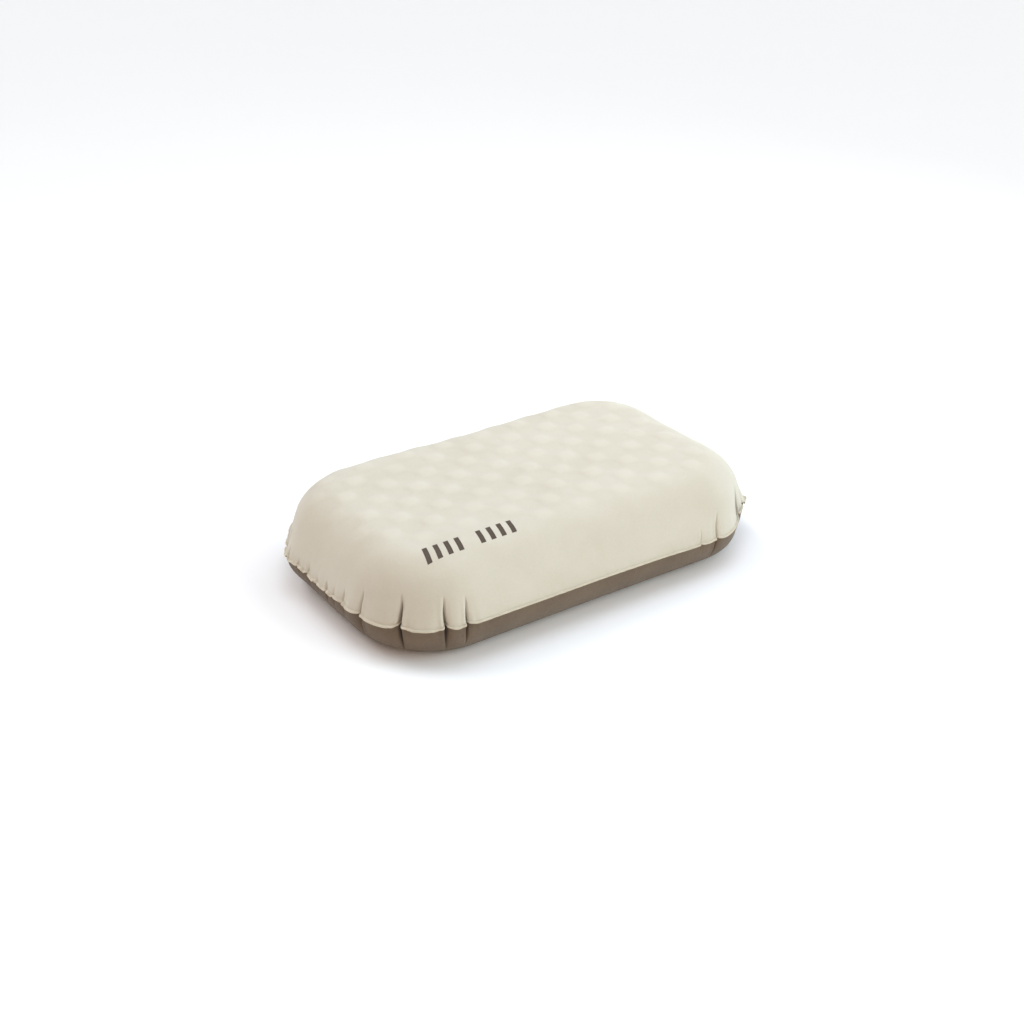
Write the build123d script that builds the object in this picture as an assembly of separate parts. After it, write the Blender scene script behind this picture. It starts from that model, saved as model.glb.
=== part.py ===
"""Self-inflating camp pillow: two laminated fabric panels welded round a waffle-cut foam core,
with a push-to-release air valve and its tethered cap on one short end.

Frame: origin at the middle of the underside, +X along the pillow, +Z up, millimetres.
The pillow lies flat on its brown underside, and the valve is on the +X end.
"""
import os
from math import cos, radians, sin

from build123d import *

# Overall size, to the outer edge of the weld flange
LENGTH = 450.0
WIDTH = 284.0
HEIGHT = 90.0
CORNER_R = 90.0

# Materials, as layers from the outside in
FABRIC_T = 0.8
FILM_T = 0.4
FOAM_GAP = 0.1
FILM_DEPTH = FABRIC_T + FILM_T
FOAM_DEPTH = FILM_DEPTH + FOAM_GAP

# Weld flange round the middle, where the two panels meet
FLANGE_W = 4.0
SEAM_Z = 34.0
WELD_T = 0.4
FLANGE_TOP_Z = SEAM_Z + WELD_T / 2 + FABRIC_T
FLANGE_LOW_Z = SEAM_Z - WELD_T / 2 - FABRIC_T

# Side profile, measured outwards from the axis of a corner
WALL_U = CORNER_R - FLANGE_W
WALL_LEAN = 18.0
WALL_RUN = 24.0
FOOT_R = 6.0
BASE_R = 27.5
BASE_U = WALL_U - BASE_R
LEAN_COS, LEAN_SIN = cos(radians(WALL_LEAN)), sin(radians(WALL_LEAN))
SHOULDER_RISE = HEIGHT - FLANGE_TOP_Z - FOOT_R * LEAN_SIN - WALL_RUN * LEAN_COS
SHOULDER_R = SHOULDER_RISE / (1 - LEAN_SIN)
SHOULDER_U = WALL_U - FOOT_R - (SHOULDER_R - FOOT_R) * LEAN_COS - WALL_RUN * LEAN_SIN

# Half the straight stretch of each side
SIDE_X = LENGTH / 2 - CORNER_R
SIDE_Y = WIDTH / 2 - CORNER_R

# Waffle cuts in the top of the foam
WAFFLE_PITCH = 32.0
WAFFLE_ANGLE = 45.0
WAFFLE_R = 12.0
WAFFLE_DEPTH = 3.0
WAFFLE_CUTS_EACH_SIDE = 8

# Printed mark on the front shoulder: two groups of plain slanted bars
MARK_X = -165.0
MARK_T = 0.2
MARK_ON_TOP = 8.0
MARK_TURN = 15.0
BAR_W = 5.0
BAR_PITCH = 11.0
BAR_SLANT = 5.0
BAR_GROUP_STARTS = (0.0, 56.0)
BARS_IN_GROUP = 4

# Valve, in its own frame: x along the wall, y up the wall, z out of it, 0 at the fabric
VALVE_UP = 1.0
VALVE_FLANGE_R = 13.0
VALVE_FLANGE_T = 1.2
VALVE_FLANGE_GAP = 0.05
NECK_R = 10.5
BORE_R = 9.0
NECK_TOP = 3.2
BEAD_R = 11.6
BEAD_Z = 2.1
BEAD_CHAMFER = 0.3
PANEL_HOLE_R = 10.8
POCKET_R = 13.8
POCKET_Z = -14.0

CORE_R = BORE_R - 0.05
CORE_BORE_R = 7.8
CORE_TOP = 0.6
CORE_LOW = -12.0
PLATE_TOP, PLATE_LOW = -5.6, -6.6
HUB_R = 2.4
HUB_TOP = -4.2
STEM_R = 1.3
STEM_CLEARANCE = 0.08
WINDOWS = 8
WINDOW_R = 1.2
WINDOW_PITCH_R = 5.3
PLATE_CUT = 4.0

BUTTON_R = 5.8
BUTTON_DISH = 0.5
BUTTON_RIM = 1.2
BUTTON_TOP, BUTTON_LOW = 0.5, -0.9
STEM_END = -9.2
DIAPHRAGM_R = 7.0
DIAPHRAGM_T = 0.8
DIAPHRAGM_GAP = 0.05
DIAPHRAGM_LIP = 0.2
CLIP_R = 2.7
CLIP_T = 0.8
CLIP_SLOT = 1.0
SPRING_R = 3.4
SPRING_WIRE_R = 0.25
SPRING_GAP = 0.05
SPRING_TURNS = 3.5
SCREEN_T = 0.4
SCREEN_HOLE = 0.9
SCREEN_PITCH = 1.5

HINGE_X, HINGE_Z = 14.5, 3.0
ROLL_R = 1.1
ROLL_GAP = 0.25
STRAP_W = 8.0
STRAP_HEIGHT = 1.9
POST_BACK = 0.2
TETHER_R_IN, TETHER_R_OUT = 10.7, 12.6
TETHER_LOW, TETHER_TOP = 0.2, 1.8
CAP_R = 12.0
CAP_LOW, CAP_TOP = 3.4, 4.8
CAP_EDGE = 0.6
CAP_DISH_R = 8.0
CAP_DISH_DEPTH = 0.5
SKIRT_R_OUT, SKIRT_R_IN = 8.7, 7.6
SKIRT_LOW = 1.0
SKIRT_EDGE = 0.3
SEAL_WIRE_R = 0.5
SEAL_Z = 2.2
SEAL_PROUD = 0.2
TAB_REACH = 16.0
TAB_W = 8.0
TAB_T = 1.2

VALVE_RUN = WALL_RUN / 2 + VALVE_UP
VALVE_U = WALL_U - FOOT_R + FOOT_R * LEAN_COS - VALVE_RUN * LEAN_SIN
VALVE_Z = FLANGE_TOP_Z + FOOT_R * LEAN_SIN + VALVE_RUN * LEAN_COS
VALVE = Plane(
    origin=(SIDE_X + VALVE_U, 0, VALVE_Z), x_dir=(0, 1, 0), z_dir=(LEAN_COS, 0, LEAN_SIN)
).location


def upper_outline(depth):
    """The side profile above the seam, from the axis outwards, at a depth under the fabric."""
    shoulder = (SHOULDER_U, HEIGHT - SHOULDER_R)
    foot = (WALL_U - FOOT_R, FLANGE_TOP_Z)
    bend = CenterArc(shoulder, SHOULDER_R - depth, WALL_LEAN, 90 - WALL_LEAN)
    curl = CenterArc(foot, FOOT_R - depth, 0, WALL_LEAN)
    top = Line((0, HEIGHT - depth), bend @ 1)
    wall = Line(bend @ 0, curl @ 1)
    return [top, bend, wall, curl]


def lower_outline(depth):
    """The side profile below the seam, from the axis outwards, at a depth under the fabric."""
    bend = CenterArc((BASE_U, BASE_R), BASE_R - depth, -90, 90)
    base = Line((0, depth), bend @ 0)
    wall = Line(bend @ 1, (WALL_U - depth, FLANGE_LOW_Z))
    return [base, bend, wall]


def profile(edges):
    """A closed profile drawn as (distance from the corner's axis, height), stood up in XZ."""
    return Plane.XZ * make_face(Curve() + edges)


def round_the_pillow(face, core=None):
    """Carries a side profile round the pillow's rounded-rectangle plan.

    core is the (low, high) z of the plate that closes the middle, where the profile has one.
    """
    corner = Pos(SIDE_X, SIDE_Y, 0) * revolve(face, Axis.Z, 90)
    end = extrude(Pos(SIDE_X, 0, 0) * face, SIDE_Y, dir=(0, 1, 0))
    side = extrude(Pos(0, SIDE_Y, 0) * Rot(0, 0, 90) * face, SIDE_X, dir=(1, 0, 0))
    quarter = corner + end + side
    if core:
        low, high = core
        quarter += Pos(SIDE_X / 2, SIDE_Y / 2, (low + high) / 2) * Box(SIDE_X, SIDE_Y, high - low)
    half = quarter + mirror(quarter, Plane.YZ)
    return half + mirror(half, Plane.XZ)


def turned(*points):
    """A solid of revolution about Z from its (radius, z) corners."""
    return revolve(Plane.XZ * make_face(Polyline(*points, close=True)), Axis.Z)


def disc(radius, low, high):
    """A plain disc about Z between two heights."""
    return Pos(0, 0, (low + high) / 2) * Cylinder(radius, high - low)


def block(x_range, y_range, z_range):
    """A box given by its limits."""
    sizes = [high - low for low, high in (x_range, y_range, z_range)]
    middle = [(high + low) / 2 for low, high in (x_range, y_range, z_range)]
    return Pos(*middle) * Box(*sizes)


def panel_layer(outline, outer, inner, root_z, weld_z):
    """One layer of a panel between two depths, from its middle to the weld at weld_z."""
    out_line, in_line = outline(outer), outline(inner)
    out_root, in_root = (WALL_U - outer, root_z), (WALL_U - inner, root_z)
    flange = [(CORNER_R, root_z), (CORNER_R, weld_z)] if outer == 0 else [(WALL_U - outer, weld_z)]
    rim = Polyline(out_root, *flange, (WALL_U - inner, weld_z), in_root)
    ends = [(out_line[0] @ 0).Y, (in_line[0] @ 0).Y]
    axis = Line((0, ends[0]), (0, ends[1]))
    return round_the_pillow(profile(out_line + in_line + [rim, axis]), sorted(ends))


def top_layer(outer, inner):
    """One layer of the top panel, with the hole that the valve's neck stands in."""
    layer = panel_layer(upper_outline, outer, inner, FLANGE_TOP_Z, SEAM_Z + WELD_T / 2)
    return layer - VALVE * disc(PANEL_HOLE_R, -2 * FILM_DEPTH, 2 * FABRIC_T)


def bottom_layer(outer, inner):
    """One layer of the bottom panel."""
    return panel_layer(lower_outline, outer, inner, FLANGE_LOW_Z, SEAM_Z - WELD_T / 2)


def top_panel():
    """The outer cloth of the top, with the shallow recesses that the printed mark fills."""
    return top_layer(0, FABRIC_T) - bars_of(print_skin(-MARK_T, MARK_T))


def top_air_film():
    return top_layer(FABRIC_T, FILM_DEPTH)


def bottom_panel():
    return bottom_layer(0, FABRIC_T)


def bottom_air_film():
    return bottom_layer(FABRIC_T, FILM_DEPTH)


def perimeter_weld():
    """The fused film in the flange, which joins the two panels and their films."""
    inner, low, high = WALL_U - FILM_DEPTH, SEAM_Z - WELD_T / 2, SEAM_Z + WELD_T / 2
    ring = Polyline((inner, low), (CORNER_R, low), (CORNER_R, high), (inner, high), close=True)
    return round_the_pillow(profile([ring]))


def waffle_cuts():
    """Crossing round-bottomed grooves that leave a grid of soft nubs on the foam."""
    axis_z = HEIGHT - FOAM_DEPTH - WAFFLE_DEPTH + WAFFLE_R
    cuts = []
    for turn in (-WAFFLE_ANGLE, WAFFLE_ANGLE):
        for step in range(-WAFFLE_CUTS_EACH_SIDE, WAFFLE_CUTS_EACH_SIDE + 1):
            along = Rot(0, 0, turn) * Pos(0, step * WAFFLE_PITCH, axis_z) * Rot(0, 90, 0)
            cuts.append(along * Cylinder(WAFFLE_R, LENGTH + WIDTH))
    return cuts


def foam_core():
    """The open-cell block that fills the pillow and springs back to draw air in."""
    inner = WALL_U - FOAM_DEPTH
    waist = Line((inner, FLANGE_TOP_Z), (inner, FLANGE_LOW_Z))
    low, high = FOAM_DEPTH, HEIGHT - FOAM_DEPTH
    lines = upper_outline(FOAM_DEPTH) + [waist] + lower_outline(FOAM_DEPTH)
    whole = round_the_pillow(profile(lines + [Line((0, low), (0, high))]), (low, high))
    pocket = VALVE * disc(POCKET_R, POCKET_Z, 0)
    return whole - pocket - waffle_cuts()


def print_skin(outer, inner):
    """The thin layer between two depths, over the top and its shoulders, that the mark is cut from."""
    out_lines, in_lines = upper_outline(outer)[:2], upper_outline(inner)[:2]
    high, low = HEIGHT - outer, HEIGHT - inner
    ends = [Line((0, low), (0, high)), Line(in_lines[1] @ 0, out_lines[1] @ 0)]
    return round_the_pillow(profile(out_lines + in_lines + ends), (low, high))


def bars_of(skin):
    """Two groups of plain slanted bars, cut from a layer over the front shoulder."""
    y_high = -SIDE_Y - SHOULDER_U + MARK_ON_TOP
    y_low = -SIDE_Y - SHOULDER_U - SHOULDER_R * sin(radians(MARK_TURN))
    bars = Part()
    for start in BAR_GROUP_STARTS:
        for step in range(BARS_IN_GROUP):
            x = MARK_X + start + step * BAR_PITCH
            foot = [(x, y_low), (x + BAR_W, y_low)]
            head = [(x + BAR_W + BAR_SLANT, y_high), (x + BAR_SLANT, y_high)]
            bars += skin & extrude(make_face(Polyline(*foot, *head, close=True)), 2 * HEIGHT)
    return bars


def printed_mark():
    """The ink of the mark, pressed into the cloth so that it lies flush with it."""
    return bars_of(print_skin(0, MARK_T))


def valve_base():
    """The soft ring welded inside the film, with the neck that stands out of the fabric."""
    high = -FILM_DEPTH - VALVE_FLANGE_GAP
    low = high - VALVE_FLANGE_T
    return turned(
        (BORE_R, low), (VALVE_FLANGE_R, low), (VALVE_FLANGE_R, high), (NECK_R, high),
        (NECK_R, BEAD_Z), (BEAD_R, BEAD_Z + BEAD_CHAMFER), (BEAD_R, NECK_TOP - BEAD_CHAMFER),
        (BEAD_R - BEAD_CHAMFER, NECK_TOP), (BORE_R, NECK_TOP),
    )


def valve_core():
    """The hard insert in the neck: a seat with windows, and a hub that guides the stem."""
    tube = disc(CORE_R, CORE_LOW, CORE_TOP) - disc(CORE_BORE_R, CORE_LOW, CORE_TOP)
    plate = disc(CORE_BORE_R, PLATE_LOW, PLATE_TOP)
    hub = disc(HUB_R, PLATE_LOW, HUB_TOP)
    windows = [
        loc * Pos(0, 0, PLATE_LOW) * Cylinder(WINDOW_R, PLATE_CUT)
        for loc in PolarLocations(WINDOW_PITCH_R, WINDOWS)
    ]
    return tube + plate + hub - windows - disc(STEM_R + STEM_CLEARANCE, CORE_LOW, BUTTON_TOP)


def valve_screen():
    """The mesh disc that keeps foam crumbs out of the valve."""
    screen = disc(CORE_BORE_R, CORE_LOW, CORE_LOW + SCREEN_T)
    count = int(2 * CORE_BORE_R / SCREEN_PITCH)
    edge = CORE_BORE_R - SCREEN_HOLE
    holes = [
        loc * Pos(0, 0, CORE_LOW) * Box(SCREEN_HOLE, SCREEN_HOLE, 4 * SCREEN_T)
        for loc in GridLocations(SCREEN_PITCH, SCREEN_PITCH, count, count)
        if loc.position.length < edge
    ]
    return screen - holes


def release_button():
    """The finger button and its stem, pressed to let air out."""
    return turned(
        (0, STEM_END), (STEM_R, STEM_END), (STEM_R, BUTTON_LOW), (BUTTON_R, BUTTON_LOW),
        (BUTTON_R, BUTTON_TOP), (BUTTON_R - BUTTON_RIM, BUTTON_TOP), (0, BUTTON_TOP - BUTTON_DISH),
    )


def check_diaphragm():
    """The silicone disc that seals the windows from inside."""
    top = PLATE_LOW - DIAPHRAGM_GAP
    low = top - DIAPHRAGM_T
    return turned(
        (STEM_R, low), (DIAPHRAGM_R - DIAPHRAGM_T, low), (DIAPHRAGM_R, top - DIAPHRAGM_LIP),
        (DIAPHRAGM_R, top), (STEM_R, top),
    )


def stem_clip():
    """The push-on clip that holds the diaphragm on the stem."""
    top = PLATE_LOW - DIAPHRAGM_GAP - DIAPHRAGM_T
    ring = disc(CLIP_R, top - CLIP_T, top) - disc(STEM_R, top - CLIP_T, top)
    return ring - block((0, 2 * CLIP_R), (-CLIP_SLOT / 2, CLIP_SLOT / 2), (top - CLIP_T, top))


def return_spring():
    """The coil that pushes the button out and so pulls the diaphragm shut."""
    low = PLATE_TOP + SPRING_WIRE_R + SPRING_GAP
    height = BUTTON_LOW - SPRING_WIRE_R - SPRING_GAP - low
    coil = Helix(height / SPRING_TURNS, height, SPRING_R)
    section = Plane(origin=coil @ 0, z_dir=coil % 0) * Circle(SPRING_WIRE_R)
    return Pos(0, 0, low) * sweep(section, coil)


def cap_tether():
    """The ring round the neck, with the strap that ends in the fold the cap turns on."""
    ring = disc(TETHER_R_OUT, TETHER_LOW, TETHER_TOP) - disc(TETHER_R_IN, TETHER_LOW, TETHER_TOP)
    root_x, back_x = (TETHER_R_IN + TETHER_R_OUT) / 2, HINGE_X - POST_BACK
    post = Polyline(
        (root_x, TETHER_LOW), (back_x, TETHER_LOW), (back_x, HINGE_Z),
        (HINGE_X - ROLL_R + POST_BACK / 2, HINGE_Z), (root_x, TETHER_TOP), close=True,
    )
    strap = extrude(Plane.XZ * make_face(post), STRAP_W / 2, both=True)
    roll = Pos(HINGE_X, 0, HINGE_Z) * Rot(90, 0, 0) * Cylinder(ROLL_R, STRAP_W)
    return ring + strap + roll


def valve_cap():
    """The push-in cap, with its skirt, pull tab and the end of its strap."""
    lid = turned(
        (0, CAP_LOW), (CAP_R, CAP_LOW), (CAP_R, CAP_TOP - CAP_EDGE), (CAP_R - CAP_EDGE, CAP_TOP),
        (CAP_DISH_R + CAP_DISH_DEPTH, CAP_TOP), (CAP_DISH_R, CAP_TOP - CAP_DISH_DEPTH),
        (0, CAP_TOP - CAP_DISH_DEPTH),
    )
    skirt = turned(
        (SKIRT_R_IN, SKIRT_LOW), (SKIRT_R_OUT - SKIRT_EDGE, SKIRT_LOW),
        (SKIRT_R_OUT, SKIRT_LOW + SKIRT_EDGE), (SKIRT_R_OUT, CAP_LOW), (SKIRT_R_IN, CAP_LOW),
    )
    tab_x = TAB_W / 2 - TAB_REACH
    tab = block((tab_x, -CAP_DISH_R), (-TAB_W / 2, TAB_W / 2), (CAP_LOW, CAP_LOW + TAB_T))
    tab += Pos(tab_x, 0, 0) * disc(TAB_W / 2, CAP_LOW, CAP_LOW + TAB_T)
    tab -= disc(CAP_R - CAP_EDGE, CAP_LOW, CAP_TOP)
    strap = block(
        (CAP_R - CAP_EDGE, HINGE_X), (-STRAP_W / 2, STRAP_W / 2), (CAP_LOW, CAP_LOW + STRAP_HEIGHT)
    )
    socket = Pos(HINGE_X, 0, HINGE_Z) * Rot(90, 0, 0) * Cylinder(ROLL_R + ROLL_GAP, 2 * STRAP_W)
    return lid + tab + (strap - socket) + (skirt - cap_seal_ring())


def cap_seal_ring():
    """The O-ring let into the cap's skirt."""
    return Pos(0, 0, SEAL_Z) * Torus(SKIRT_R_OUT - SEAL_WIRE_R + SEAL_PROUD, SEAL_WIRE_R)


PILLOW_PARTS = [
    top_panel, top_air_film, perimeter_weld, bottom_air_film, bottom_panel, foam_core, printed_mark,
]
VALVE_PARTS = [
    valve_base, valve_core, valve_screen, release_button, check_diaphragm, stem_clip,
    return_spring, cap_tether, valve_cap, cap_seal_ring,
]

os.makedirs("parts", exist_ok=True)
for make in PILLOW_PARTS:
    export_step(make(), f"parts/{make.__name__}.step")
for make in VALVE_PARTS:
    export_step(VALVE * make(), f"parts/{make.__name__}.step")
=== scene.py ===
"""Looks of a self-inflating camp pillow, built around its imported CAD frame.

Lengths are in millimetres up to add_mesh, and in metres in the materials, lamps and camera.
"""
import math

import bpy
import numpy as np
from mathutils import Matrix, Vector
from mathutils.geometry import delaunay_2d_cdt

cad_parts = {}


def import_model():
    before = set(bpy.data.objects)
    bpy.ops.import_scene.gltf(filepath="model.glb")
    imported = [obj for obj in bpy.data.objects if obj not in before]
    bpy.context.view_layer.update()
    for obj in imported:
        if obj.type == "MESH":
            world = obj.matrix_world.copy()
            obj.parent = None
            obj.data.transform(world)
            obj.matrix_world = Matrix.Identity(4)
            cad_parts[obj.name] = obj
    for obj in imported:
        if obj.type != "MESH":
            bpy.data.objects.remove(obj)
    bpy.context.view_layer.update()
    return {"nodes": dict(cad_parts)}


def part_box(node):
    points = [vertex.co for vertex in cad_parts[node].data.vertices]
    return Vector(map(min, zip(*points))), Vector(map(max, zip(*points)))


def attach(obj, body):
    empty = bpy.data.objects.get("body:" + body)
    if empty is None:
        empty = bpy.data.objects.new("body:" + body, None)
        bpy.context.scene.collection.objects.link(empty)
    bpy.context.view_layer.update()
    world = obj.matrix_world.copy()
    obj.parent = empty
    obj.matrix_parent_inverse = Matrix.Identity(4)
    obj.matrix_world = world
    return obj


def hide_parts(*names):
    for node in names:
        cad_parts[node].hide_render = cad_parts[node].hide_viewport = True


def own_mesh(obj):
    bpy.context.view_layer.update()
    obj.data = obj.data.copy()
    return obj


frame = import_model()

MM = 0.001

# ---- the pillow's shape, as the CAD has it
CORNER_R = 90.0  # the flange's outer edge about a corner axis
FLANGE_W = 4.0
FLANGE_TOP = 35.0
FLANGE_LOW = 33.0
WELD_TOP, WELD_LOW = 34.2, 33.8
WALL_U = CORNER_R - FLANGE_W
WALL_LEAN = math.radians(18)
WALL_RUN = 24.0
FOOT_R = 6.0
BASE_R = 27.5
FABRIC_T = 0.8
FILM_T = 0.15
FOAM_GAP = 1.5

_, top_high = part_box("top_panel")
HEIGHT = top_high.z / MM
SIDE_X = top_high.x / MM - CORNER_R
SIDE_Y = top_high.y / MM - CORNER_R
SHOULDER_R = (HEIGHT - FLANGE_TOP - FOOT_R * math.sin(WALL_LEAN) - WALL_RUN * math.cos(WALL_LEAN)) / (
    1 - math.sin(WALL_LEAN))
SHOULDER_U = (WALL_U - FOOT_R - (SHOULDER_R - FOOT_R) * math.cos(WALL_LEAN)
              - WALL_RUN * math.sin(WALL_LEAN))
VALVE_S = SHOULDER_U + SHOULDER_R * (math.pi / 2 - WALL_LEAN) + WALL_RUN / 2 - 1.0
VALVE_HOLE_R = 10.8
VALVE_CALM_R = 17.0
VALVE_FREE_R = 30.0

PERIMETER = 4 * (SIDE_X + SIDE_Y) + 2 * math.pi * CORNER_R
CORNER_ARC = CORNER_R * math.pi / 2
STARTS = np.cumsum([0, 2 * SIDE_X, CORNER_ARC, 2 * SIDE_Y, CORNER_ARC, 2 * SIDE_X, CORNER_ARC, 2 * SIDE_Y])
# each side and the corner after it, counter-clockwise
FRONT, FRONT_RIGHT, RIGHT, BACK_RIGHT, BACK, BACK_LEFT, LEFT, FRONT_LEFT = range(8)


def in_order(table):
    """Rows of a table in their order round the seam, each with its place along it.

    A row starts with millimetres along its side, or degrees round its corner.
    """
    return sorted((STARTS[part] + first * (math.radians(CORNER_R) if part % 2 else 1), *rest)
                  for part, rows in table.items() for first, *rest in rows)


# ---- what happens along the seam
# pleats: place, depth, run up the side, run down the side, half width, side of the ridge (1 or -1), slant,
# and how far the cloth bows out in the gap after it
PLEATS = in_order({
    FRONT: [(252, 2, 15, 6, 2, -1, 0.16, 0.1)],
    FRONT_RIGHT: [
        (2, 6, 25, 24, 2.4, -1, 0.22, 1.3), (38, 7.5, 33, 22, 3, 1, 0.05, 0.8),
        (52, 6, 27, 18, 2.8, -1, 0.02, 1.5), (66, 7.5, 30, 22, 3, 1, -0.05, 0.7),
        (82, 5, 24, 16, 2.8, 1, -0.08, 0.3)],
    RIGHT: [(16, 2, 12, 7, 2.4, -1, 0.05, 0), (90, 2.4, 13, 8, 2.4, 1, -0.05, 0.4)],
    BACK_RIGHT: [
        (11, 6.5, 29, 20, 3, 1, 0.08, 1.2), (33, 8.5, 36, 24, 3.2, -1, 0.03, 1.6),
        (57, 8, 35, 22, 3.2, 1, -0.03, 1.3), (79, 7, 30, 20, 3, -1, -0.06, 0.5)],
    BACK: [(96, 1.8, 11, 6, 2.2, 1, 0.06, 0.3)],
    BACK_LEFT: [
        (8, 6.5, 29, 20, 3, 1, 0.06, 1.4), (31, 8.5, 36, 24, 3.3, 1, 0.02, 1.3),
        (55, 7, 33, 22, 3, -1, -0.02, 0.5), (71, 4.5, 20, 15, 2.6, -1, -0.05, 0.5),
        (84.5, 2.8, 11, 10, 2.4, 1, -0.05, 0.2)],
    LEFT: [
        (11, 1.6, 7, 7, 2.2, -1, 0.08, 0.1), (29.5, 2.8, 10, 11, 2.4, 1, 0.05, 0.6),
        (48.5, 1.2, 6, 8, 2, 1, 0, 0.2), (65.7, 3, 10, 12, 2.4, -1, -0.05, 0.5),
        (79, 1.4, 6, 8, 2.2, 1, -0.05, 0.1), (95, 3.6, 13, 12, 2.5, 1, -0.08, 1)],
    FRONT_LEFT: [
        (12, 7.5, 24, 20, 2.7, 1, -0.10, 1.7), (40.7, 11, 31, 27, 3, 1, -0.02, 1.6),
        (67.8, 9, 29, 25, 2.8, -1, -0.02, 1.2), (80.9, 8, 26, 21, 2.6, -1, 0.06, 0.4)],
})

# the seam itself: place, how far it stands out, how far it hangs down
SEAM_LINE = in_order({
    FRONT: [(20, 0, 0), (135, 0.2, 0), (205, 0.5, 1.2), (252, 1.4, 3.2)],
    FRONT_RIGHT: [
        (3, 1.4, 3.8), (17, -1, 3.4), (33, -5, 1.6), (45, -5, 0), (56, 0.5, 0),
        (63, 1.5, 0), (74, -1, 0.6)],
    RIGHT: [(20, 0.4, 1), (40, 0.8, 2.4), (64, 0.8, 2.4), (84, 0.4, 1)],
    BACK_RIGHT: [(10, 0.8, 0.8), (45, 0, 0.4), (85, 0.6, 0.8)],
    BACK: [(135, 0.2, 0.2)],
    BACK_LEFT: [(5, 0.8, 0.8), (45, -1.2, 1.4), (70, -1.2, 2.2), (82, 6.5, 2.6)],
    LEFT: [(10, 4, 2.6), (29, 2.6, 2.8), (66, 3, 2.6), (95, 1, 1)],
    FRONT_LEFT: [(12, 0, 0.2), (45, 0, 0), (74, 0.6, 0)],
})

# where the flange is frilled: place, reach along the seam, strength
FRILLS = in_order({
    FRONT_RIGHT: [(58, 34, 1.5)],
    RIGHT: [(95, 24, 0.5)],
    BACK_LEFT: [(78, 30, 0.9)],
    LEFT: [(52, 50, 1)],
})


# ---- the wall's profile, flat distance to place
PROFILE_STEP = 0.1
PROFILE_BLUR = 23  # steps that each bend is rounded over


class Profile:
    """Distance out from a corner axis, height and outward normal, by distance measured along the cloth."""

    def __init__(self, corners_uz, up):
        raw = np.array(corners_uz, float)
        steps = np.hypot(*np.diff(raw, axis=0).T)
        raw_s = np.concatenate([[0], np.cumsum(steps)])
        self.total = raw_s[-1]
        self.s = np.linspace(0, self.total, int(self.total / PROFILE_STEP) + 1)
        u, z = np.interp(self.s, raw_s, raw[:, 0]), np.interp(self.s, raw_s, raw[:, 1])
        window = np.hanning(PROFILE_BLUR) / np.hanning(PROFILE_BLUR).sum()
        pad = len(window) // 2
        step = self.s[1]

        def smooth(v):
            before = v[0] - (v[1] - v[0]) * np.arange(pad, 0, -1)
            after = v[-1] + (v[-1] - v[-2]) * np.arange(1, pad + 1)
            return np.convolve(np.concatenate([before, v, after]), window, "valid")

        self.u, self.z = smooth(u), smooth(z)
        du, dz = np.gradient(self.u, step), np.gradient(self.z, step)
        size = np.hypot(du, dz)
        sign = 1 if up else -1
        self.nu, self.nz = -sign * dz / size, sign * du / size

    def at(self, s):
        """Distance out, height, and the normal outward and up."""
        return [np.interp(s, self.s, v) for v in (self.u, self.z, self.nu, self.nz)]


def arc(centre, radius, start, stop, count=60):
    """Points of an arc, its angles in degrees above the outward direction."""
    angles = np.radians(np.linspace(start, stop, count))
    return [(centre[0] + radius * math.cos(a), centre[1] + radius * math.sin(a)) for a in angles]


LEAN = math.degrees(WALL_LEAN)
TOP = Profile([(0, HEIGHT)] + arc((SHOULDER_U, HEIGHT - SHOULDER_R), SHOULDER_R, 90, LEAN)
              + arc((WALL_U - FOOT_R, FLANGE_TOP), FOOT_R, LEAN, 0, 20) + [(CORNER_R, FLANGE_TOP)], True)
BOTTOM = Profile([(0, 0)] + arc((WALL_U - BASE_R, BASE_R), BASE_R, -90, 0)
                 + [(WALL_U, FLANGE_LOW), (CORNER_R, FLANGE_LOW)], False)


# ---- flat coordinates
# The sides and corners go round counter-clockwise, from the front side and the corner after it.
CORNERS = np.array([(SIDE_X, -SIDE_Y), (SIDE_X, SIDE_Y), (-SIDE_X, SIDE_Y), (-SIDE_X, -SIDE_Y)])
ALONG = np.array([(1, 0), (0, 1), (-1, 0), (0, -1)])
RIGHT_ANGLE = math.pi / 2


def nearest_core(flat):
    """The nearest point of the rectangle between the corner axes."""
    return np.clip(flat, (-SIDE_X, -SIDE_Y), (SIDE_X, SIDE_Y))


def around(flat):
    """What a flat point is beside.

    Gives its nearest core point, outward direction, distance out, perimeter place, and whether it is in
    a corner.
    """
    core = nearest_core(flat)
    out = flat - core
    s = np.hypot(*out.T)
    direction = out / np.maximum(s, 1e-9)[:, None]
    turn = (np.arctan2(out[:, 1], out[:, 0]) + RIGHT_ANGLE) % (4 * RIGHT_ANGLE)
    quarter = np.round(turn / RIGHT_ANGLE, 9)
    side = np.floor(quarter).astype(int) % 4
    corner = quarter % 1 != 0
    on_side = STARTS[2 * side] + ((core - CORNERS[side - 1]) * ALONG[side]).sum(1)
    in_corner = STARTS[2 * side + 1] + CORNER_R * (turn - side * RIGHT_ANGLE)
    return core, direction, s, np.where(corner, in_corner, on_side), corner & (s > 0)


def core_and_direction(place):
    """The core point and outward direction at places along the perimeter."""
    place = np.asarray(place) % PERIMETER
    k = np.searchsorted(STARTS, place, "right") - 1
    side, corner, d = k // 2, k % 2 == 1, place - STARTS[k]
    core = np.where(corner[:, None], CORNERS[side], CORNERS[side - 1] + ALONG[side] * d[:, None])
    turn = side * RIGHT_ANGLE + np.where(corner, d / CORNER_R, 0)
    # rounded, so that it is exact along the sides
    return core, np.round(np.column_stack([np.sin(turn), -np.cos(turn)]), 12)


def smoothstep(x, low, high):
    """0 up to low, 1 from high, and a smooth rise between them."""
    t = np.clip((x - low) / (high - low), 0, 1)
    return t * t * (3 - 2 * t)


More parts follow.
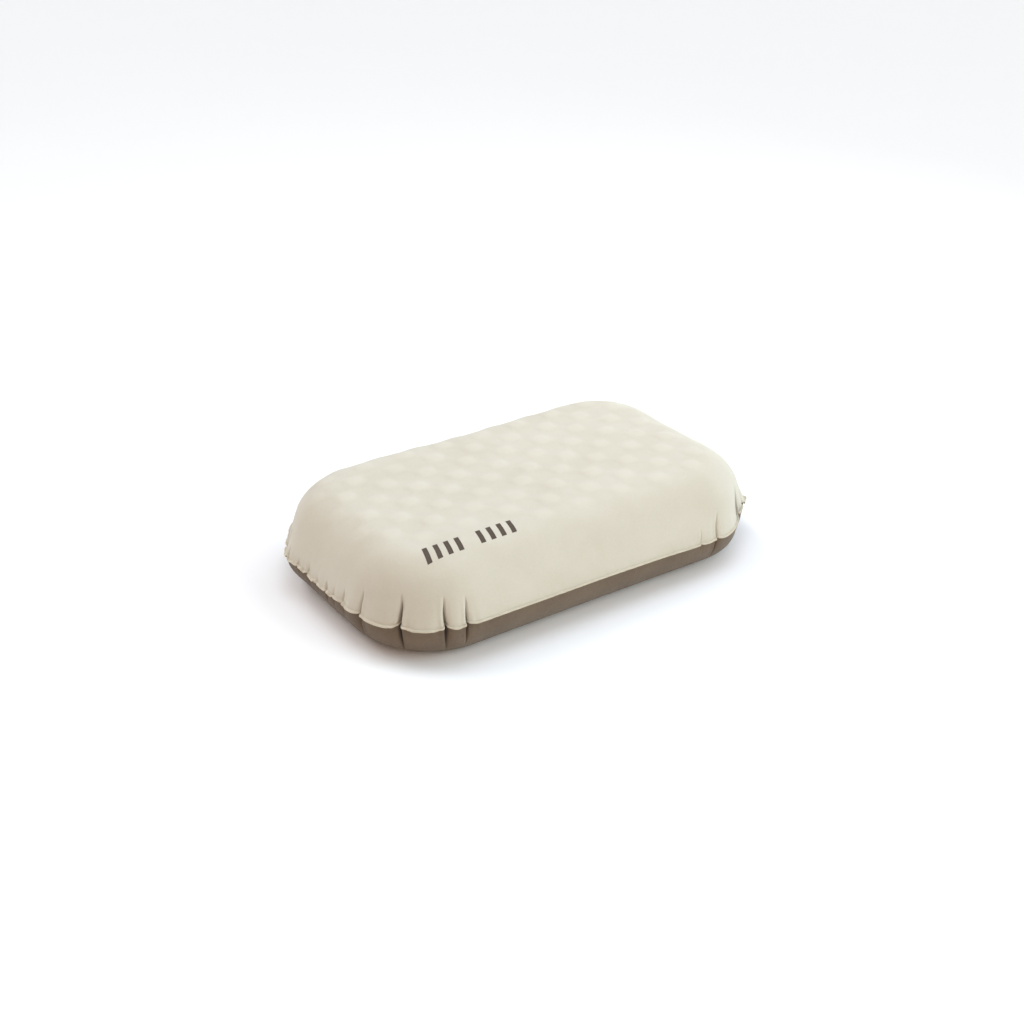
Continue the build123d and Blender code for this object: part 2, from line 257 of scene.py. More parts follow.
def bell(x, reach):
    """1 at 0, and 1/e at the reach."""
    return np.exp(-(x / reach) ** 2)


# ---- how the cloth leaves the plain shape
NUB_PITCH = 31.82
NUB_X, NUB_Y = -12.0, 24.0  # the middle of one nub
NUB_HEIGHT = 1.25
NUB_FADES = ((24.0, 58.0), (44.0, 76.0))  # at the front, and round the other sides
MARK_CALM = (-115.0, -88.0, 62.0, 26.0)  # middle and reach of the smooth place under the print
SOFT_HEIGHT = 0.55

# a pleat's parts, as shares of its depth: the groove, the dip round it, the ridge beside it and how far
# that leans over, the lower ridge across from it, and how far the seam rises there
GROOVE, DIP, RIDGE, RIDGE_LEAN, LOW_RIDGE, PLEAT_LIFT = 0.72, 0.34, 0.20, 0.13, 0.05, 0.16
LOBE_REACH_UP, LOBE_REACH_DOWN = 17.0, 12.0  # how far in from the seam the bow of a gap reaches
BELLY = 0.6  # how far the cloth stands out just beside the flange
SEAM_RISE = 2.9
SEAM_REACH = 26.0
FLANGE_DRAWN_IN = 1.4
FRILL_OUT, FRILL_LIFT = 0.35, 0.8
PUCKER_OUT, PUCKER_LIFT = 0.34, 0.42
PUCKERS = ((131, 0.4, 0.5), (197, 2.1, 0.35), (263, 4.4, 0.3), (83, 1.0, 0.5))  # times round, phase, size


def foam_relief(flat, s):
    """The egg-crate foam that shows through.

    The nubs are on a square lattice turned 45 degrees, and get lower towards the sides.
    """
    x, y = flat.T
    a = (x - NUB_X + y - NUB_Y) / math.sqrt(2)
    b = (x - NUB_X - y + NUB_Y) / math.sqrt(2)
    wander = 1.2 * np.sin(x / 37 + 1) + 1.0 * np.sin(y / 29)
    rows = np.cos(2 * math.pi * (a + wander) / NUB_PITCH) + np.cos(2 * math.pi * (b - wander) / NUB_PITCH)
    nub = smoothstep(0.5 + 0.25 * rows, 0.34, 1.0)
    uneven = 1 + 0.16 * np.sin(x / 23 + 0.7) * np.sin(y / 31 + 1.9)
    front, other = [1 - smoothstep(s, *fade) for fade in NUB_FADES]
    share = smoothstep(y, -80, -20)
    mark_x, mark_y, reach_x, reach_y = MARK_CALM
    calm = 1 - 0.8 * np.exp(-((x - mark_x) / reach_x) ** 4 - ((y - mark_y) / reach_y) ** 4)
    return (nub - 0.35) * uneven * (front * (1 - share) + other * share) * calm


def softness(flat, s):
    """Broad, shallow unevenness of a blown-up pad."""
    x, y = flat.T
    wave = np.sin(x / 41 + 0.6) * np.sin(y / 33 + 1.1) + 0.6 * np.sin(x / 23 - y / 37 + 2.0)
    wave += 0.5 * np.sin(x / 67 + y / 19 + 0.3)
    return SOFT_HEIGHT * wave * smoothstep(s, 10, 60)


def nearest_gap(place, start):
    """Signed distance along the perimeter."""
    return (place - start + PERIMETER / 2) % PERIMETER - PERIMETER / 2


def pleat_moves(place, edge, scale, up):
    """Outward, sideways and upward moves near the pleats.

    edge is the distance in from the flange's outer edge.
    """
    out, side, lift = np.zeros((3, len(place)))
    for at, depth, run_up, run_down, width, ridge, slant, _ in PLEATS:
        run = run_up if up else run_down
        wiggle = 0.7 * np.sin(edge / 6.5 + at) * np.clip(edge / 20, 0, 1)
        bias = slant * np.maximum(edge - FLANGE_W, 0) * (1 if up else -0.6)
        x = nearest_gap(place, at) * scale - bias - wiggle * (1 if up else 0.5)
        fade = np.clip(1 - np.maximum(edge - FLANGE_W, 0) / run, 0, 1) ** 0.85
        half = width * (0.35 + 0.65 * fade) * np.where(edge < FLANGE_W, 0.62 + 0.38 * edge / FLANGE_W, 1)
        r = np.sqrt((x / half) ** 2 + 0.006)
        hump = bell(x - ridge * 1.25 * width, 0.75 * width)
        out += depth * fade * (RIDGE * hump + LOW_RIDGE * bell(x + ridge * 1.7 * width, 0.9 * width)
                               - GROOVE * np.clip(1 - r, 0, 1) ** 1.35 - DIP * bell(x, 2.4 * width))
        side -= ridge * depth * RIDGE_LEAN * fade * hump
        lift += depth * PLEAT_LIFT * bell(x, 2.2 * width) * np.exp(-edge / 9)
    return out, side, lift


def lobe_moves(place, edge, up):
    """The cloth between two pleats blows out, and its seam hangs a little lower."""
    starts = np.array([p[0] for p in PLEATS])
    k = np.searchsorted(starts, place % PERIMETER, "right") - 1
    first, second = starts[k], starts[(k + 1) % len(starts)]
    t = ((place - first) % PERIMETER) / ((second - first) % PERIMETER)
    size = np.array([p[7] for p in PLEATS])[k] * (1 - np.abs(2 * t - 1) ** 2.4)
    fade = np.exp(-np.maximum(edge - 3, 0) / (LOBE_REACH_UP if up else LOBE_REACH_DOWN))
    return size * fade, -0.5 * size * np.exp(-edge / 11)


def seam_moves(place, edge):
    """Where the whole seam stands out or hangs down, and how far the cloth bellies out beside it."""
    at, *curves = np.array(SEAM_LINE).T
    out, down = [
        np.average([np.interp((place + step) % PERIMETER, at, values, period=PERIMETER)
                    for step in (-12, -6, 0, 6, 12)], axis=0, weights=(1, 2, 3, 2, 1))
        for values in curves]
    fade = bell(edge, SEAM_REACH)
    belly = BELLY * bell(edge - 9, 13) * np.clip(edge / FLANGE_W, 0, 1)
    drawn_in = FLANGE_DRAWN_IN * np.clip(1 - edge / FLANGE_W, 0, 1)
    return out * fade + belly - drawn_in, (SEAM_RISE - down) * fade


def ripple(place, count, phase=0.0):
    """A wave that runs a whole number of times round the seam."""
    return np.sin(2 * math.pi * count * place / PERIMETER + phase)


def frill(place, edge):
    """The free edge of the flange waves up and down where the cloth was gathered."""
    wave = ripple(place, 97, 0.8) + 0.7 * ripple(place, 149) + 0.6 * ripple(place, 61, 2.0)
    strength = sum(size * bell(nearest_gap(place, middle), reach) for middle, reach, size in FRILLS)
    wave = wave * strength * np.clip(1 - edge / (1.6 * FLANGE_W), 0, 1)
    return FRILL_OUT * wave, FRILL_LIFT * wave


def puckers(place, edge):
    """Small ripples that the weld leaves in the cloth beside it."""
    wave = sum(size * ripple(place, count, phase + edge / 11) for count, phase, size in PUCKERS)
    wave = wave * (0.55 + 0.45 * ripple(place, 17, 1.3))
    near = np.exp(-np.maximum(edge - FLANGE_W, 0) / 7)
    return PUCKER_OUT * wave * near, PUCKER_LIFT * wave * np.exp(-edge / 3.5)


def valve_distance(flat):
    """How far a flat point is from the valve's middle."""
    return np.hypot(flat[:, 0] - SIDE_X - VALVE_S, flat[:, 1])


def displaced(flat, up):
    """Places, normals, pleat depths and distances from the edge of flat points, on the cloth's outer face."""
    profile = TOP if up else BOTTOM
    core, direction, s, place, corner = around(flat)
    u, z, nu, nz = profile.at(s)
    edge = profile.total - s
    scale = np.where(corner, u / CORNER_R, 1.0)
    out, side, lift = pleat_moves(place, edge, scale, up)
    for more_out, more_lift in (lobe_moves(place, edge, up), seam_moves(place, edge), puckers(place, edge),
                                frill(place, edge)):
        out, lift = out + more_out, lift + more_lift
    calm, rise = 1.0, np.zeros(len(flat))
    if up:
        calm = smoothstep(valve_distance(flat), VALVE_CALM_R, VALVE_FREE_R)
        rise = calm * (NUB_HEIGHT * foam_relief(flat, s) + softness(flat, s) * np.clip(edge / 40, 0, 1))
    out, side, lift = out * calm, side * calm, lift * calm
    point = np.empty((len(flat), 3))
    point[:, :2] = core + direction * (u + out)[:, None]
    point[:, :2] += np.stack([-direction[:, 1], direction[:, 0]], 1) * side[:, None]
    point[:, 2] = z + lift
    normal = np.column_stack([direction * nu[:, None], nz])
    point += normal * rise[:, None]
    blown = billows[up].at(flat) * (smoothstep(edge, 3.0, 12.0) * calm)[:, None]
    point += blown
    if not up:
        on_floor = smoothstep(z, 0.0, 6.0)
        plain = core + direction * u[:, None]
        point[:, :2] = plain + (point[:, :2] - plain) * on_floor[:, None]
        point[:, 2] = np.maximum(z + (lift + blown[:, 2]) * on_floor, 0)
    return point, normal, -out, edge


# ---- one mesh layout for each side of the pillow
TOP_REACH, BOTTOM_REACH = 90.0, 62.0  # how far in from the edge the rings of quads go
FILM_EDGE, FOAM_EDGE = 5.6, 8.0  # where the film and the foam begin
COLUMN_STEP, PLEAT_STEP, VALVE_STEP = 2.3, 0.55, 1.0  # widest, at a pleat and at the valve
HOLE_POINTS = 72
HOLE_RINGS = (VALVE_HOLE_R, 11.7, 12.8)  # every second ring is turned by half a step
HOLE_BLOCK = (14.2, 15.5)  # half height and half width of the block of cells left out


def spaced(stops, spacing):
    """Places from 0 to stops whose distances follow spacing(place)."""
    fine = np.linspace(0, stops, int(stops * 8) + 1)
    pace = 1 / spacing(fine)
    total = np.concatenate([[0], np.cumsum((pace[1:] + pace[:-1]) / 2 * np.diff(fine))])
    count = int(math.ceil(total[-1]))
    return np.interp(np.linspace(0, total[-1], count + 1), total, fine)


def columns():
    """Places along the perimeter, closer together at the pleats and at the valve."""
    def spacing(p):
        step = np.full(len(p), COLUMN_STEP)
        for pleat in PLEATS:
            distance = np.abs(nearest_gap(p, pleat[0]))
            step = np.minimum(step, PLEAT_STEP + 0.16 * np.maximum(distance - 2.2 * pleat[4], 0))
        valve = np.abs(nearest_gap(p, STARTS[RIGHT] + SIDE_Y))
        return np.minimum(step, VALVE_STEP + 0.1 * np.maximum(valve - 18, 0))
    return spaced(PERIMETER, spacing)[:-1]


def rings(reach, widest, first=0.0):
    """Distances in from the flange's outer edge."""
    edge = spaced(reach, lambda e: np.minimum(0.75 + 0.045 * e, widest))
    return edge[edge >= first]


def triangles(points, edges, keep):
    """Delaunay triangles of plane points, with their indexes as given, where keep says so of their middle."""
    made = delaunay_2d_cdt([Vector(p) for p in points], edges, [], 0, 1e-6)
    original = [o[0] for o in made[3]]
    faces = np.array([[original[i] for i in f] for f in made[2]])
    middle = points[faces].mean(1)
    faces = faces[keep(middle)]
    a, b, c = points[faces[:, 0]], points[faces[:, 1]], points[faces[:, 2]]
    turn = (b[:, 0] - a[:, 0]) * (c[:, 1] - a[:, 1]) - (b[:, 1] - a[:, 1]) * (c[:, 0] - a[:, 0])
    faces[turn < 0] = faces[turn < 0][:, ::-1]
    return faces[np.abs(turn) > 1e-7]


def loop_edges(loop):
    """Pairs of neighbours round a closed loop."""
    return [(int(a), int(b)) for a, b in zip(loop, np.roll(loop, -1))]


def grid_points(low, high, step, inside):
    """A hexagonal grid of plane points."""
    made = []
    for k, y in enumerate(np.arange(low[1], high[1], step * math.sqrt(3) / 2)):
        x = np.arange(low[0] + (k % 2) * step / 2, high[0], step)
        made.append(np.column_stack([x, np.full(len(x), y)]))
    made = np.concatenate(made)
    return made[inside(made)]


def tube_faces(rows, count):
    """Indexes and quads of rows of points, each row a closed ring."""
    index = np.arange(rows * count).reshape(rows, count)
    after = np.roll(index, -1, 1)
    return index, np.stack([index[:-1], after[:-1], after[1:], index[1:]], -1)


def outline(block):
    """The indexes round the outside of a block of indexes."""
    return np.concatenate([block[0], block[1:, -1], block[-1, -2::-1], block[-2:0:-1, 0]])


def wall(loop, shift):
    """Quads from a closed loop to its copy, shift points later."""
    after = np.roll(loop, -1)
    return np.stack([after, loop, loop + shift, after + shift], 1)


class Layout:
    """Flat points and faces of one side.

    Rings of quads by the seam, triangles in the middle, and a hole for the valve if there is one.
    """

    def __init__(self, up, place, edge, fill_step, with_valve=False):
        core, direction = core_and_direction(place)
        s = (TOP if up else BOTTOM).total - edge
        ring_flat = core[None] + direction[None] * s[:, None, None]
        self.columns = len(place)
        self.flat = ring_flat.reshape(-1, 2)
        index, quads = tube_faces(len(edge), len(place))
        use = np.ones(quads.shape[:2], bool)
        self.loops = [index[0]]
        tris = []
        if with_valve:
            tris.append(self.cut_valve(index, quads, use, ring_flat))
        limit = s[-1] - 0.55 * fill_step
        corner = CORNERS[1] + limit
        fill = grid_points(-corner, corner, fill_step,
                           lambda points: np.hypot(*(points - nearest_core(points)).T) < limit)
        tris.append(self.fill(index[-1], fill, lambda middle: np.ones(len(middle), bool)))
        used = np.unique(np.concatenate([quads[use].ravel()] + [t.ravel() for t in tris]))
        new = np.full(len(self.flat), -1)
        new[used] = np.arange(len(used))
        self.flat = self.flat[used]
        self.quads = new[quads[use]]
        self.tris = new[np.concatenate(tris)]
        self.loops = [new[loop] for loop in self.loops]

    def fill(self, loop, more, keep, extra_edges=()):
        """Triangles inside a loop, with more points, and edges between those that must be kept."""
        start = len(self.flat)
        self.flat = np.concatenate([self.flat, more])
        ids = np.concatenate([loop, np.arange(start, len(self.flat))])
        local = loop_edges(np.arange(len(loop))) + [(a + len(loop), b + len(loop)) for a, b in extra_edges]
        return ids[triangles(self.flat[ids], local, keep)]

    def cut_valve(self, index, quads, use, ring_flat):
        """Leaves a block of cells out round the valve, and fills it up to a round hole."""
        centre = np.array([SIDE_X + VALVE_S, 0.0])
        middle = ring_flat[:, np.argmin(np.abs(ring_flat[0, :, 1]) + 1e3 * (ring_flat[0, :, 0] < 0))]
        half_height, half_width = HOLE_BLOCK
        rows = np.flatnonzero(np.abs(middle[:, 0] - centre[0]) < half_height)
        cols = np.flatnonzero((ring_flat[0, :, 0] > SIDE_X) & (np.abs(ring_flat[0, :, 1]) < half_width))
        r0, r1, c0, c1 = rows[0], rows[-1], cols[0], cols[-1]
        use[r0:r1, c0:c1] = False
        border = outline(index[r0:r1 + 1, c0:c1 + 1])
        circles, count = [], HOLE_POINTS
        for k, radius in enumerate(HOLE_RINGS):
            a = 2 * math.pi * (np.arange(count) + 0.5 * (k % 2)) / count
            circles.append(centre + radius * np.stack([np.cos(a), np.sin(a)], 1))
        hole = loop_edges(np.arange(count))
        start = len(self.flat)
        low, high = self.flat[border].min(0), self.flat[border].max(0)

        def keep(m):
            outside = np.hypot(*(m - centre).T) > VALVE_HOLE_R * math.cos(math.pi / count)
            return outside & (m > low).all(1) & (m < high).all(1)
        made = self.fill(border, np.concatenate(circles), keep, hole)
        self.loops.append(np.arange(start, start + count)[::-1])
        return made


def put(name, data, at=(0, 0, 0), turn=None):
    """A new object in the scene, at a place in metres."""
    made = bpy.data.objects.new(name, data)
    bpy.context.scene.collection.objects.link(made)
    made.location = at
    if turn is not None:
        made.rotation_mode = "QUATERNION"
        made.rotation_quaternion = turn
    return made


def add_mesh(name, points, faces, attributes, material, smooth=True):
    """A mesh object from points in millimetres; attributes are floats, or triples, for each point."""
    mesh = bpy.data.meshes.new(name)
    mesh.from_pydata((points * MM).tolist(), [], [f.tolist() for group in faces for f in group])
    for key, values in attributes.items():
        values = np.asarray(values, np.float32)
        kind, field = ("FLOAT", "value") if values.ndim == 1 else ("FLOAT_VECTOR", "vector")
        mesh.attributes.new(key, kind, "POINT").data.foreach_set(field, values.ravel())
    mesh.validate()
    mesh.polygons.foreach_set("use_smooth", [smooth] * len(mesh.polygons))
    if material is not None:
        mesh.materials.append(material)
    return put(name, mesh)


def flat_attribute(flat, side):
    """The place on the cloth in metres, which the knit and the print follow."""
    return np.column_stack([flat * MM, np.full(len(flat), 0.7 * side)])


def cloth(name, up, ring_step, fill_step, first, outer, inner, material):
    """A closed thin shell between two depths under the cloth's outer face."""
    reach = TOP_REACH if up else BOTTOM_REACH
    layout = Layout(up, columns(), rings(reach, ring_step, first), fill_step, up)
    point, normal, depth, edge = displaced(layout.flat, up)
    count = len(point)
    both = np.concatenate([point - normal * outer, point - normal * inner])
    if not up:
        both[:, 2] = np.maximum(both[:, 2], np.repeat([outer, inner], count))
    quads, tris = (layout.quads, layout.tris) if up else (layout.quads[:, ::-1], layout.tris[:, ::-1])
    faces = [quads, tris, quads[:, ::-1] + count, tris[:, ::-1] + count]
    faces += [wall(loop, count) if up else wall(loop, count)[:, ::-1] for loop in layout.loops]
    attributes = {
        "flat": np.tile(flat_attribute(layout.flat, 1 if up else -1), (2, 1)),
        "pleat": np.tile(np.clip(depth / 6, -1, 1), 2),
        "edge": np.tile(edge * MM, 2),
        "nub": np.tile(foam_relief(layout.flat, TOP.total - edge) if up else 0 * edge, 2),
    }
    return add_mesh(name, both, faces, attributes, material)


# ---- the cloth, blown up by a cloth simulation
BLOW_STEP = 6.0
BLOW_IN = 60.0  # how far in from the edge the coarse copy has rings
BLOW_PRESSURE = 10.0
BLOW_FRAMES = 20
BLOW_CAP = 3.5  # no point moves further
GRID_STEP = 4.0
GRID_BLUR = 3.2
BONDED = (30.0, 66.0)  # the cloth is glued to the foam up to here, and free beyond


class Billow:
    """How far the cloth moves when it is blown up between its pleats, carried to any flat place."""

    def __init__(self, up):
        reach = CORNERS[1] + (TOP if up else BOTTOM).total + 3 * GRID_STEP
        self.low = -reach
        self.count = (2 * reach / GRID_STEP).astype(int) + 2
        self.grid = np.zeros((*self.count, 3))
        layout, points, held = self.coarse_copy(up)
        moves = self.simulated(layout, points, held, up)
        size = np.linalg.norm(moves, axis=1)[:, None]
        self.spread(layout.flat, moves * BLOW_CAP * np.tanh(size / BLOW_CAP) / np.maximum(size, 1e-6))

    def coarse_copy(self, up):
        """A coarse panel, and how firmly it is held at the seam, the pleats, the valve and the foam."""
        profile = TOP if up else BOTTOM
        starts = np.array([p[0] for p in PLEATS])
        gaps = (np.roll(starts, -1) - starts) % PERIMETER
        parts = np.maximum(1, np.round(gaps / BLOW_STEP)).astype(int)
        place = np.concatenate([a + gap * np.arange(n) / n for a, gap, n in zip(starts, gaps, parts)])
        edge = np.concatenate([[0, FLANGE_W], np.arange(FLANGE_W + BLOW_STEP, BLOW_IN, BLOW_STEP)])
        layout = Layout(up, place, edge, BLOW_STEP)
        core, direction, s, place, _ = around(layout.flat)
        u, z, _, _ = profile.at(s)
        edge = profile.total - s
        held = np.where(edge < FLANGE_W + 0.5, 1.0, 0.0)
        for at, depth, run_up, run_down, *_ in PLEATS:
            run = 0.8 * (run_up if up else run_down) * min(1.0, depth / 4)
            held[(np.abs(nearest_gap(place, at)) < 1.0) & (edge < FLANGE_W + run) & (s > 0)] = 1.0
        if up:
            held = np.maximum(held, 1 - smoothstep(s, *BONDED))
            held[valve_distance(layout.flat) < VALVE_CALM_R] = 1.0
        else:
            held[z < 1.5] = 1.0
        return layout, np.column_stack([core + direction * u[:, None], z]), held

    def simulated(self, layout, points, held, up):
        """How far Blender's Cloth moves each point of the coarse copy."""
        turn = 1 if up else -1
        made = add_mesh("blown_cloth", points, [layout.quads[:, ::turn], layout.tris[:, ::turn]], {}, None)
        group = made.vertex_groups.new(name="held")
        for k in np.flatnonzero(held > 0):
            group.add([int(k)], float(held[k]), "REPLACE")
        modifier = made.modifiers.new("Cloth", "CLOTH")
        settings = modifier.settings
        settings.vertex_group_mass = "held"
        settings.use_pressure = True
        settings.uniform_pressure_force = BLOW_PRESSURE
        settings.effector_weights.gravity = 0.0
        modifier.collision_settings.use_collision = False
        modifier.collision_settings.use_self_collision = False
        modifier.point_cache.frame_start, modifier.point_cache.frame_end = 1, BLOW_FRAMES
        scene = bpy.context.scene
        for number in range(1, BLOW_FRAMES + 1):
            scene.frame_set(number)
        blown = made.evaluated_get(bpy.context.evaluated_depsgraph_get()).data
        after = np.empty(len(points) * 3, np.float32)
        blown.vertices.foreach_get("co", after)
        scene.frame_set(1)
        mesh = made.data
        bpy.data.objects.remove(made)
        bpy.data.meshes.remove(mesh)
        return after.reshape(-1, 3) / MM - points

    def spread(self, flat, moves):
        """Blurs the moves of the coarse points onto the grid."""
        y = self.low[1] + GRID_STEP * np.arange(self.count[1])
        for k in range(self.count[0]):
            x = self.low[0] + GRID_STEP * k
            near = np.abs(flat[:, 0] - x) < 5 * GRID_BLUR
            if not near.any():
                continue
            far = (flat[near, 0] - x) ** 2 + (flat[near, 1] - y[:, None]) ** 2
            weight = np.exp(-far / (2 * GRID_BLUR ** 2))
            self.grid[k] = weight @ moves[near] / (weight.sum(1) + 1e-3)[:, None]

    def at(self, flat):
        """The moves at any flat places, by a cubic B-spline through the grid."""
        cell = (flat - self.low) / GRID_STEP
        first = np.clip(np.floor(cell).astype(int), 1, self.count - 3)
        t = np.clip(cell - first, 0, 1)
        pull = np.stack([(1 - t) ** 3, 3 * t ** 3 - 6 * t ** 2 + 4,
                         -3 * t ** 3 + 3 * t ** 2 + 3 * t + 1, t ** 3]) / 6
        made = np.zeros((len(flat), 3))
        for i in range(4):
            for j in range(4):
                near = self.grid[first[:, 0] + i - 1, first[:, 1] + j - 1]
                made += (pull[i, :, 0] * pull[j, :, 1])[:, None] * near
        return made


# ---- node materials
class Nodes:
    """A small builder for the nodes of a material or a world.

    Inputs take a value, a colour as three numbers, or another node's output.
    """

    def __init__(self, owner):
        owner.use_nodes = True
        self.owner, self.tree = owner, owner.node_tree

    def feed(self, node, inputs):
        for key, value in inputs.items():
            socket = node.inputs[key]
            if isinstance(value, bpy.types.NodeSocket):
                self.tree.links.new(value, socket)
            else:
                socket.default_value = (*value, 1) if socket.type == "RGBA" else value

    def add(self, kind, out, inputs, **settings):
        """One output of a new node."""
        node = self.tree.nodes.new(kind)
        for key, value in settings.items():
            setattr(node, key, value)
        self.feed(node, inputs)
        return node.outputs[out]

    def flat(self):
        return self.add("ShaderNodeAttribute", "Vector", {}, attribute_name="flat")

    def value(self, name):
        return self.add("ShaderNodeAttribute", "Fac", {}, attribute_name=name)

    def place(self):
        return self.add("ShaderNodeTexCoord", "Object", {})

    def math(self, operation, *values):
        return self.add("ShaderNodeMath", 0, dict(enumerate(values)), operation=operation)

    def noise(self, vector, scale, detail=2.0, rough=0.5, distortion=0.0):
        return self.add("ShaderNodeTexNoise", "Fac", {
            "Vector": vector, "Scale": scale, "Detail": detail, "Roughness": rough, "Distortion": distortion})

    def cells(self, vector, scale):
        return self.add("ShaderNodeTexVoronoi", "Distance", {"Vector": vector, "Scale": scale})

    def waves(self, vector, length, direction, distortion=0.0):
        """Bands a length apart, in metres."""
        return self.add("ShaderNodeTexWave", "Fac", {
            "Vector": vector, "Scale": 2 * math.pi / 20 / length, "Distortion": distortion,
            "Detail": 1.0, "Detail Scale": 1.5}, bands_direction=direction)

    def ramp(self, value, low, high, out_low=0.0, out_high=1.0):
        return self.add("ShaderNodeMapRange", "Result", {
            "Value": value, "From Min": low, "From Max": high, "To Min": out_low, "To Max": out_high},
            interpolation_type="SMOOTHSTEP")

    def mix(self, factor, a, b):
        return self.add("ShaderNodeMix", 2, {0: factor, 6: a, 7: b}, data_type="RGBA")

    def bump(self, height, distance, strength=1.0, below=None):
        inputs = {"Height": height, "Distance": distance, "Strength": strength}
        if below is not None:
            inputs["Normal"] = below
        return self.add("ShaderNodeBump", "Normal", inputs)

    def finish(self, colour, roughness, normal=None, **more):
        """Feeds the shader, more with _ for each space in a socket's name, and gives the material."""
        inputs = {"Base Color": colour, "Roughness": roughness, "Normal": normal}
        inputs.update((key.replace("_", " "), value) for key, value in more.items())
        self.feed(self.tree.nodes["Principled BSDF"], {k: v for k, v in inputs.items() if v is not None})
        return self.owner


def blank(name):
    """The nodes of a new material."""
    return Nodes(bpy.data.materials.new(name))


def linear(r, g, b):
    """A linear colour from 0-255 display numbers."""
    return tuple(((v / 255 + 0.055) / 1.055) ** 2.4 if v > 10 else v / 255 / 12.92 for v in (r, g, b))


def knit_height(n, flat, wale, course):
    """Rows of tiny knitted loops."""
    wales = n.waves(flat, wale, "X", 0.6)
    courses = n.waves(flat, course, "Y", 0.8)
    loops = n.math("MULTIPLY", wales, n.math("MULTIPLY_ADD", courses, 0.6, 0.4))
    fuzz = n.noise(flat, 2600, 3.0, 0.65)
    return n.math("MULTIPLY_ADD", fuzz, 0.55, loops)


def knit(name, light, dark, worn, wale, course, sheen, bump):
    """Stretch knit with a brushed face: loops with painted shade between them, mottling, painted highlights
    on the nub tops, a rubbed rim and painted shade in the pleats.
    """
    n = blank(name)
    flat = n.flat()
    height = knit_height(n, flat, wale, course)
    broad = n.noise(flat, 26, 3.0, 0.55, 0.4)
    streak = n.noise(flat, 420, 2.0, 0.6)
    tone = n.math("MULTIPLY_ADD", streak, 0.35, n.math("MULTIPLY", broad, 0.65))
    colour = n.mix(n.ramp(tone, 0.32, 0.68), light, dark)
    # painted shade: the knit is darkened in the hollows between its loops
    loops = n.ramp(height, 0.15, 1.1, 0.16, 0.0)
    colour = n.mix(loops, colour, tuple(0.72 * c for c in dark))
    # painted highlight: the cloth is lightened over the tops of the foam nubs, so the ground between them
    # looks darker
    painted_nub_highlight = n.ramp(n.value("nub"), -0.3, 0.55, 0.0, 0.4)
    colour = n.mix(painted_nub_highlight, colour, tuple(min(1.0, 1.07 * c) for c in light))
    # painted shade: the cloth is darkened in the grooves of the pleats, by their depth
    painted_pleat_shade = n.ramp(n.value("pleat"), 0.16, 0.9, 0.0, 0.6)
    colour = n.mix(painted_pleat_shade, colour, tuple(0.5 * c for c in dark))
    patch = n.ramp(n.noise(flat, 70, 4.0, 0.6), 0.35, 0.75)
    rim = n.ramp(n.value("edge"), 0.0006, 0.0036, 0.6, 0.0)
    colour = n.mix(n.math("MULTIPLY", rim, n.math("MULTIPLY_ADD", patch, 0.5, 0.5)), colour, worn)
    rough = n.ramp(n.noise(flat, 300, 2.0), 0.3, 0.7, 0.78, 0.96)
    crinkle = n.noise(flat, 240, 3.0, 0.6, 0.8)
    near = n.ramp(n.value("edge"), 0.002, 0.022, 1.0, 0.12)
    small = n.bump(n.math("MULTIPLY", crinkle, near), 0.0007, 0.55)
    return n.finish(colour, rough, n.bump(height, bump, 0.6, small), Sheen_Weight=sheen, Sheen_Roughness=0.45,
                    Specular_IOR_Level=0.18)


def film_material():
    """Cloudy, slightly glossy film."""
    n = blank("air_film_tpu")
    flat = n.flat()
    cloud = n.noise(flat, 60, 4.0, 0.6, 0.5)
    colour = n.mix(cloud, linear(226, 224, 214), linear(198, 196, 184))
    rough = n.ramp(n.noise(flat, 900, 2.0), 0.3, 0.7, 0.22, 0.4)
    return n.finish(colour, rough, n.bump(n.noise(flat, 1400, 3.0), 0.0001, 0.5), Coat_Weight=0.2)


def foam_material():
    """Yellowed foam with open pores of two sizes."""
    n = blank("open_cell_foam")
    place = n.place()
    pores = n.cells(place, 1100)
    large = n.cells(place, 420)
    height = n.math("MULTIPLY_ADD", large, 0.5, pores)
    # painted shade: the foam is darker down in its pores
    colour = n.mix(n.ramp(height, 0.1, 0.9), linear(176, 160, 120), linear(232, 222, 190))
    colour = n.mix(n.ramp(n.noise(place, 22, 3.0), 0.4, 0.8, 0.0, 0.35), colour, linear(214, 196, 148))
    return n.finish(colour, n.ramp(pores, 0.0, 0.7, 1.0, 0.85), n.bump(height, 0.0006, 0.8),
                    Specular_IOR_Level=0.2)


def weld_material():
    """The pressed lip: pale coated edge with the fine ribs of the welding bar."""
    n = blank("weld_edge")
    flat = n.flat()
    ribs = n.waves(flat, 0.0016, "DIAGONAL", 0.4)
    tone = n.noise(flat, 160, 4.0, 0.6)
    colour = n.mix(n.ramp(tone, 0.3, 0.75), linear(222, 214, 196), linear(190, 178, 154))
    rough = n.ramp(n.noise(flat, 700), 0.3, 0.7, 0.45, 0.7)
    return n.finish(colour, rough, n.bump(ribs, 0.00015, 0.5), Specular_IOR_Level=0.35)


def ink_material():
    """Heat-printed ink that lets the knit show through and has cracked a little."""
    n = blank("heat_print_ink")
    flat = n.flat()
    height = knit_height(n, flat, 0.00085, 0.0011)
    colour = n.mix(n.ramp(height, 0.1, 1.2), linear(66, 55, 44), linear(82, 70, 58))
    chips = n.ramp(n.noise(flat, 900, 4.0, 0.7), 0.66, 0.72, 0.0, 0.55)
    colour = n.mix(chips, colour, linear(140, 127, 110))
    rough = n.ramp(n.noise(flat, 500), 0.3, 0.7, 0.5, 0.68)
    return n.finish(colour, rough, n.bump(height, 0.00012, 0.5), Specular_IOR_Level=0.35)


